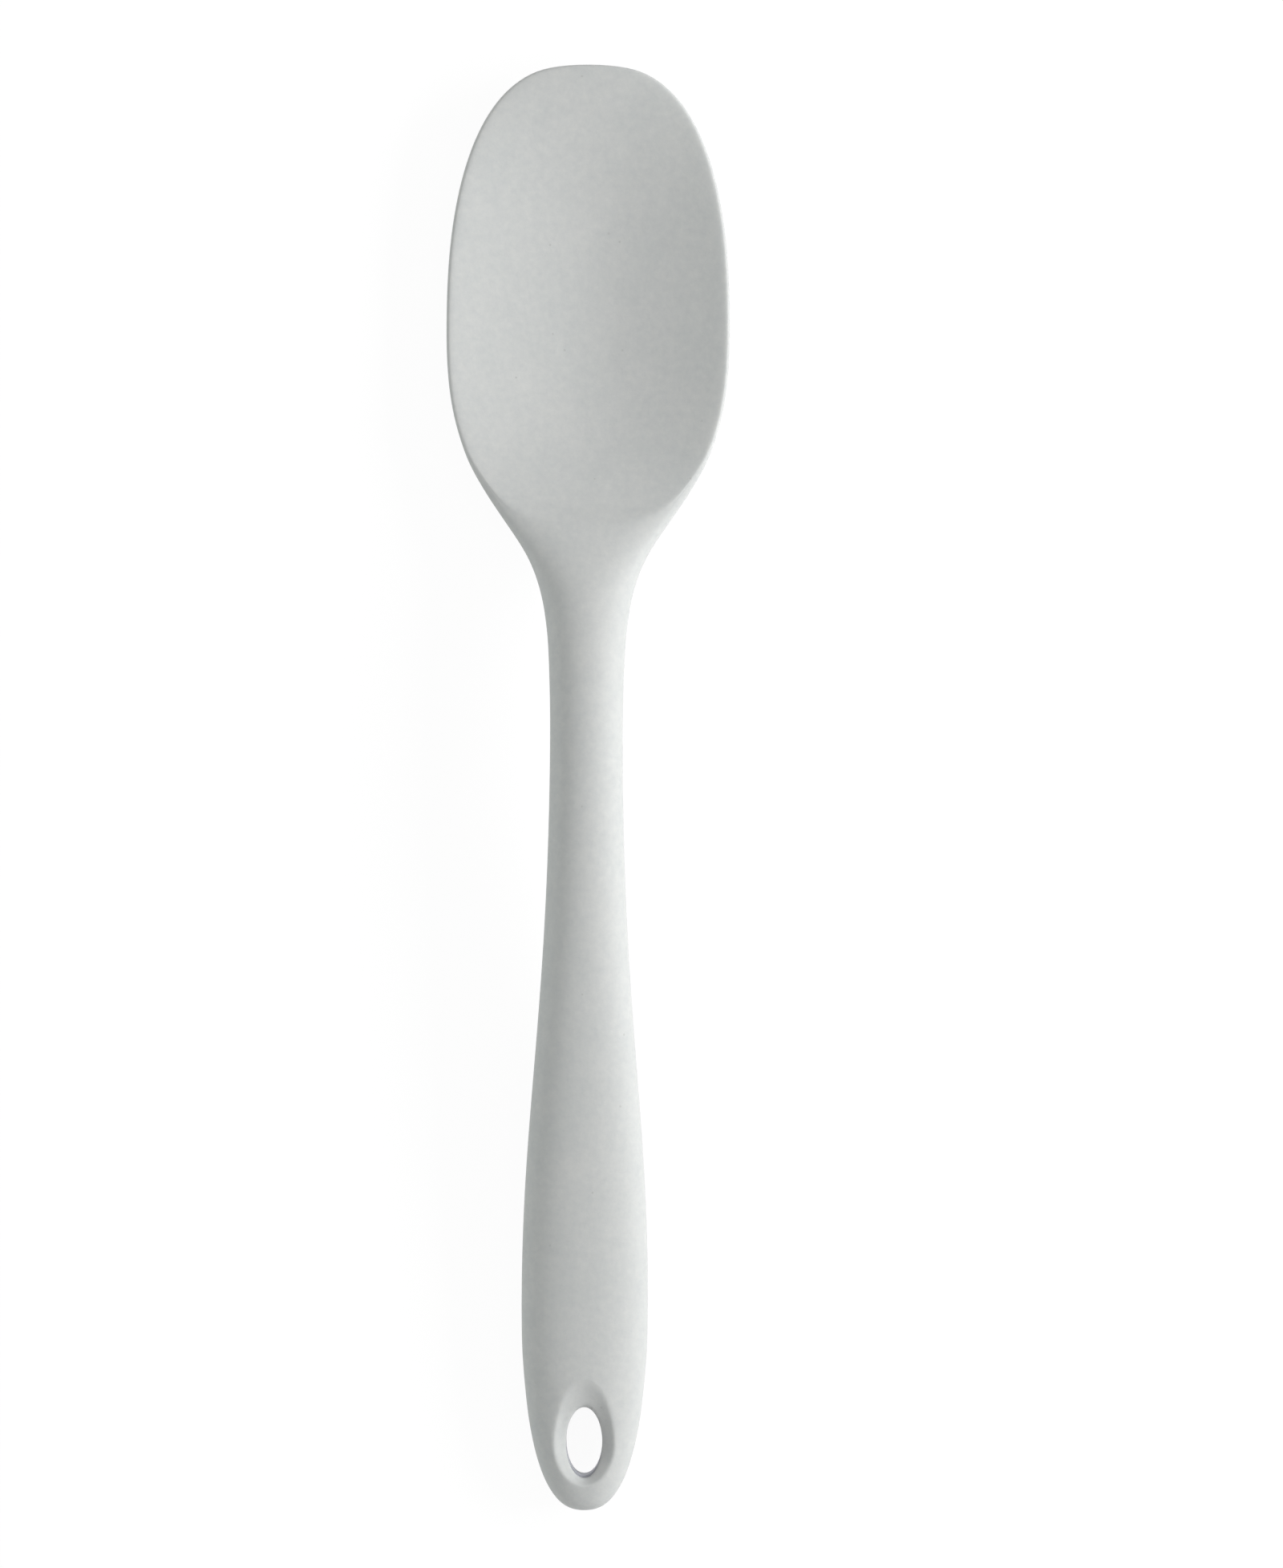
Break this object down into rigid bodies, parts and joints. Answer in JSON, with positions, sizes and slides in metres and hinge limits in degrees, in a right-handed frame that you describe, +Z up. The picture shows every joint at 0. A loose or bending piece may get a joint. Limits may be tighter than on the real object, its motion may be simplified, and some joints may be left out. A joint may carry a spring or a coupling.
{
  "type": "silicone spoon",
  "caption": "Long mixing spoon with a shallow egg-shaped bowl, slim neck, swelling grip and a dished hanging eye, silicone over a stiff core.",
  "frame": {"origin": "on the table, under the middle of the spoon's length and width", "axes": "+Y along the spoon towards the bowl's tip, +Z up with the bowl open upwards, +X to the right"},
  "size_m": [0.0548, 0.28, 0.0196],
  "materials": {
    "silicone": "matte pale grey silicone with a fine velvety grain",
    "nylon": "satin moulded glass-filled nylon, cool grey"
  },
  "bodies": {
    "root": {"silicone_body": "silicone", "core": "nylon"}
  },
  "joints": []
}
